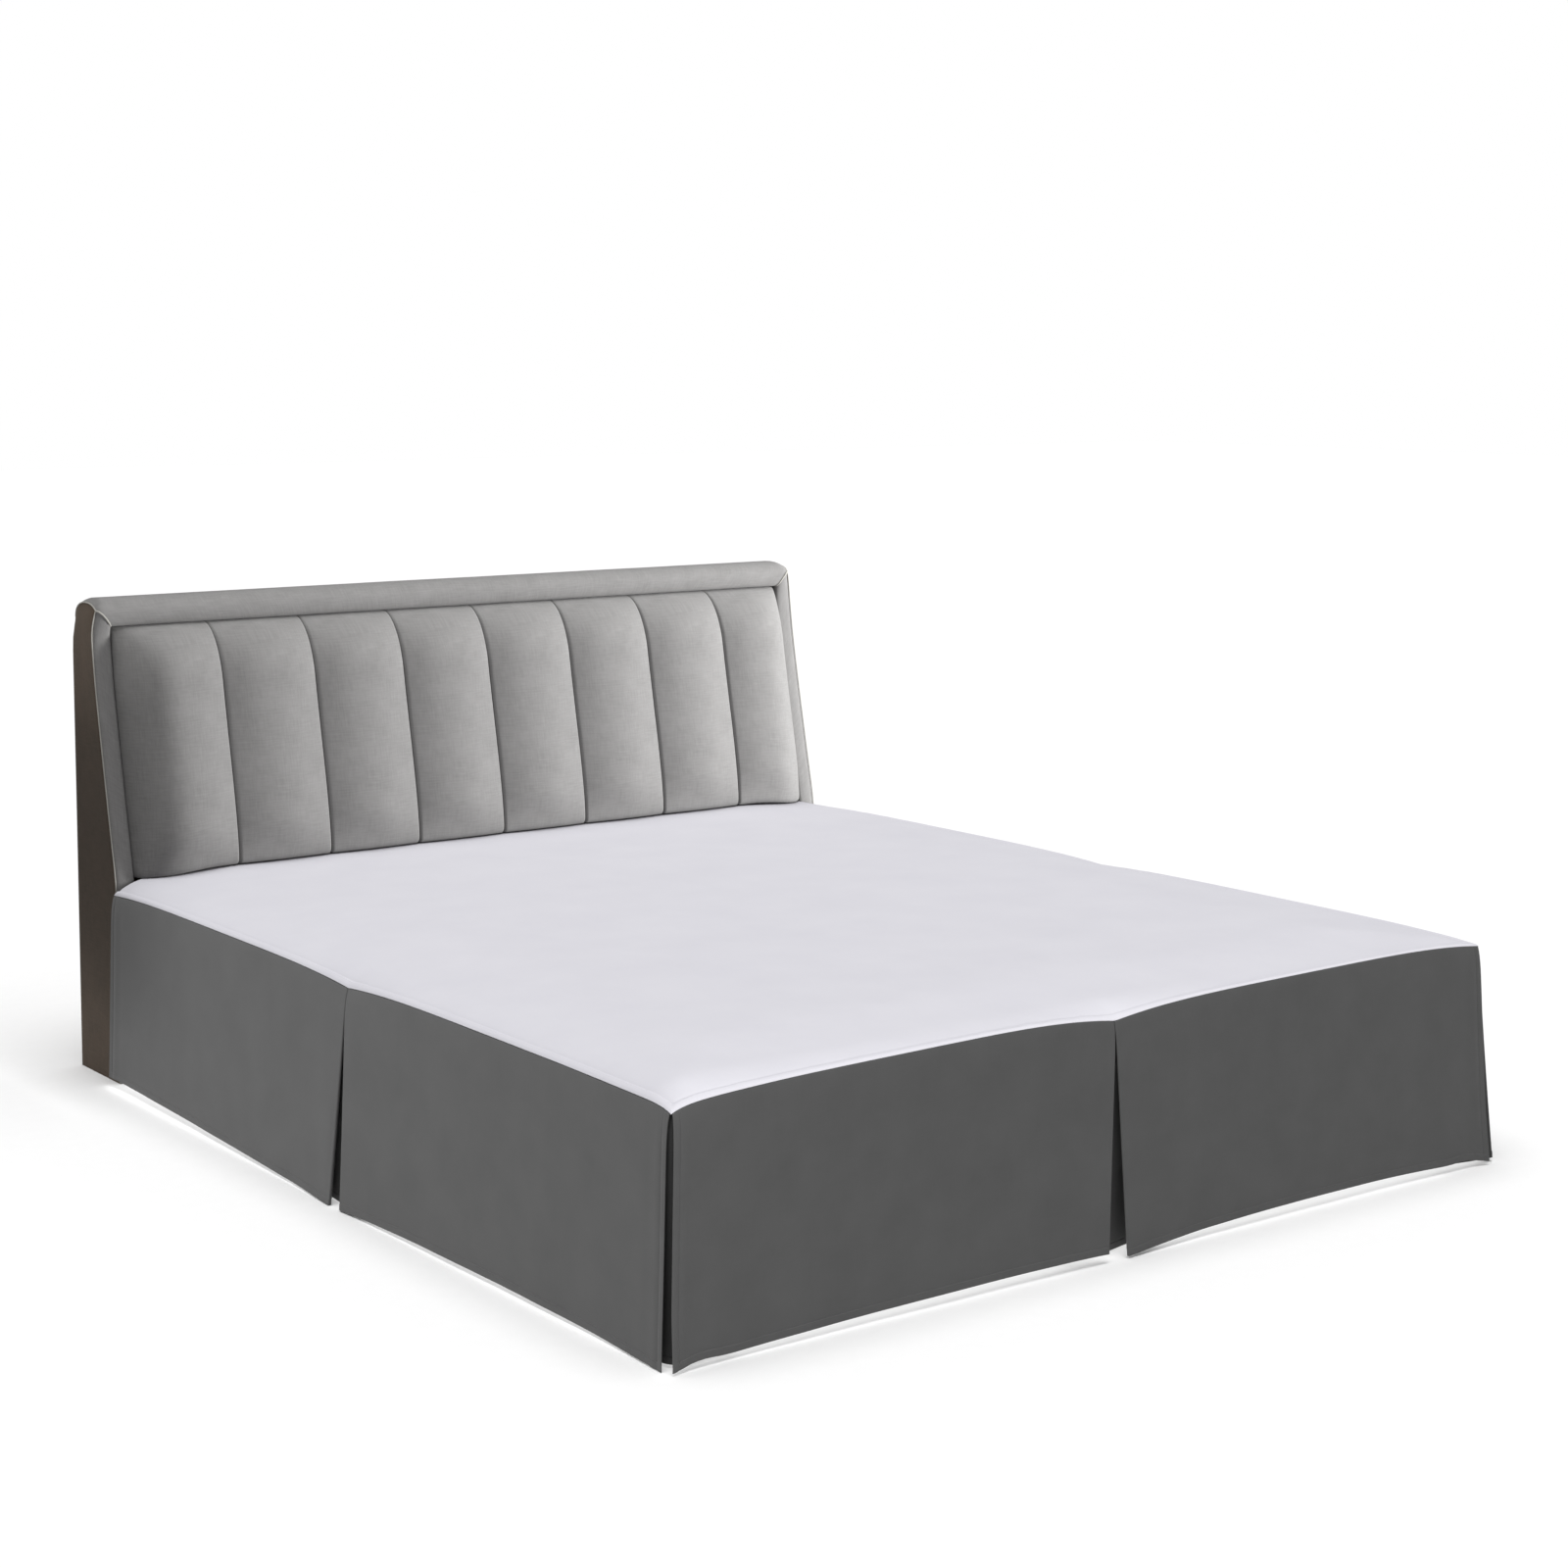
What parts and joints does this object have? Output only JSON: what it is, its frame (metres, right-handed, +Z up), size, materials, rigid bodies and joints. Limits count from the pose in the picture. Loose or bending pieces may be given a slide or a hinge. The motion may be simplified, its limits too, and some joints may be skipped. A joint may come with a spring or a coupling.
{
  "type": "bed skirt on a bed",
  "caption": "Tailored bed skirt, a flat sheet with straight drops, inverted pleats and split foot corners, over a plain bed with a padded, channelled headboard.",
  "frame": {"origin": "on the floor, in the middle of the footprint", "axes": "+Z up, +Y from the foot of the bed to the headboard, +X to the right for someone at the foot who faces the headboard"},
  "size_m": [1.8688, 2.2444, 0.99],
  "materials": {
    "skirt_sheet": "matte white woven microfibre",
    "skirt_drop": "matte dark grey woven microfibre",
    "skirt_insert": "matte dark grey woven microfibre",
    "headboard_linen": "warm grey linen-look upholstery",
    "base_fabric": "plain dark lining cloth",
    "leg_plastic": "black moulded plastic"
  },
  "bodies": {
    "root": {"platform_sheet": "skirt_sheet", "left_drop": "skirt_drop", "foot_drop": "skirt_drop", "right_drop": "skirt_drop", "left_insert": "skirt_insert", "right_insert": "skirt_insert", "base": "base_fabric", "leg_foot_left": "leg_plastic", "leg_foot_right": "leg_plastic", "leg_middle_left": "leg_plastic", "leg_middle_right": "leg_plastic", "leg_head_left": "leg_plastic", "leg_head_right": "leg_plastic", "headboard_core": "headboard_linen", "border_left": "headboard_linen", "border_right": "headboard_linen", "top_roll": "headboard_linen", "pad_1": "headboard_linen", "pad_2": "headboard_linen", "pad_3": "headboard_linen", "pad_4": "headboard_linen", "pad_5": "headboard_linen", "pad_6": "headboard_linen", "pad_7": "headboard_linen", "pad_8": "headboard_linen"}
  },
  "joints": []
}
